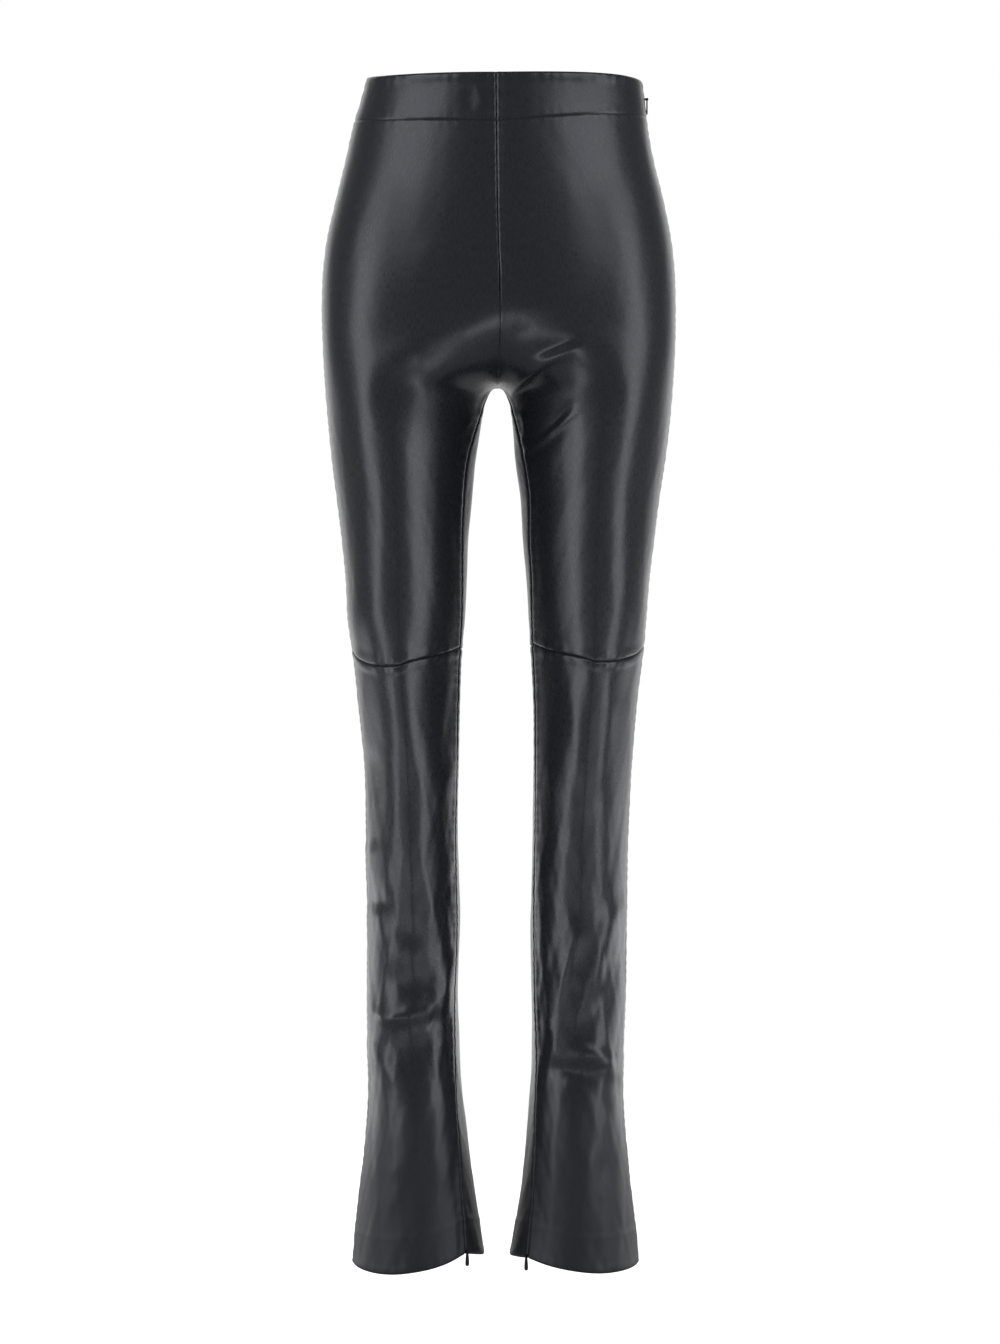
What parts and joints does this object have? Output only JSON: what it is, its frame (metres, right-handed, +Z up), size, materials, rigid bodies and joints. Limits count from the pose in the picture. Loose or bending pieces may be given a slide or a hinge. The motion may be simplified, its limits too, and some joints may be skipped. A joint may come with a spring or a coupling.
{
  "type": "flared leggings",
  "caption": "High-waisted flared leggings in black coated stretch cloth, filled out and hollow, with a knee seam, a hip zip and ankle zips whose pulls swing.",
  "frame": {"origin": "centre of the waist opening at its top edge", "axes": "+Z up, the front faces -Y, the wearer's left leg is at +X"},
  "size_m": [0.3277, 0.2362, 1.1077],
  "materials": {
    "coated_cloth": "satin black coating with a fine lengthwise grain",
    "zip_tape": "matt woven",
    "zip_metal": "gloss black enamel"
  },
  "bodies": {
    "garment": {"waistband_front_right": "coated_cloth", "waistband_front_left": "coated_cloth", "waistband_back_right": "coated_cloth", "waistband_back_left": "coated_cloth", "thigh_front_right": "coated_cloth", "thigh_front_left": "coated_cloth", "thigh_back_right": "coated_cloth", "thigh_back_left": "coated_cloth", "shin_front_right": "coated_cloth", "shin_front_left": "coated_cloth", "shin_back_right": "coated_cloth", "shin_back_left": "coated_cloth", "hip_zip_tape": "zip_tape", "hip_zip_slider": "zip_metal", "right_ankle_zip_tape": "zip_tape", "right_ankle_zip_slider": "zip_metal", "left_ankle_zip_tape": "zip_tape", "left_ankle_zip_slider": "zip_metal"},
    "hip_pull": {"hip_zip_pull": "zip_metal"},
    "right_ankle_pull": {"right_ankle_zip_pull": "zip_metal"},
    "left_ankle_pull": {"left_ankle_zip_pull": "zip_metal"}
  },
  "joints": [
    {"name": "hip_pull_swing", "type": "hinge", "parent": "garment", "child": "hip_pull", "pos_m": [0.13804, 0, -0.018], "axis": [-0.0003, -1, 0], "range_deg": [0, 160]},
    {"name": "right_ankle_pull_swing", "type": "hinge", "parent": "garment", "child": "right_ankle_pull", "pos_m": [-0.02874, -0.04993, -1.0836], "axis": [-0.5761, -0.8174, 0], "range_deg": [0, 160]},
    {"name": "left_ankle_pull_swing", "type": "hinge", "parent": "garment", "child": "left_ankle_pull", "pos_m": [0.02551, -0.0505, -1.0876], "axis": [-0.5718, 0.8204, 0], "range_deg": [0, 160]}
  ]
}
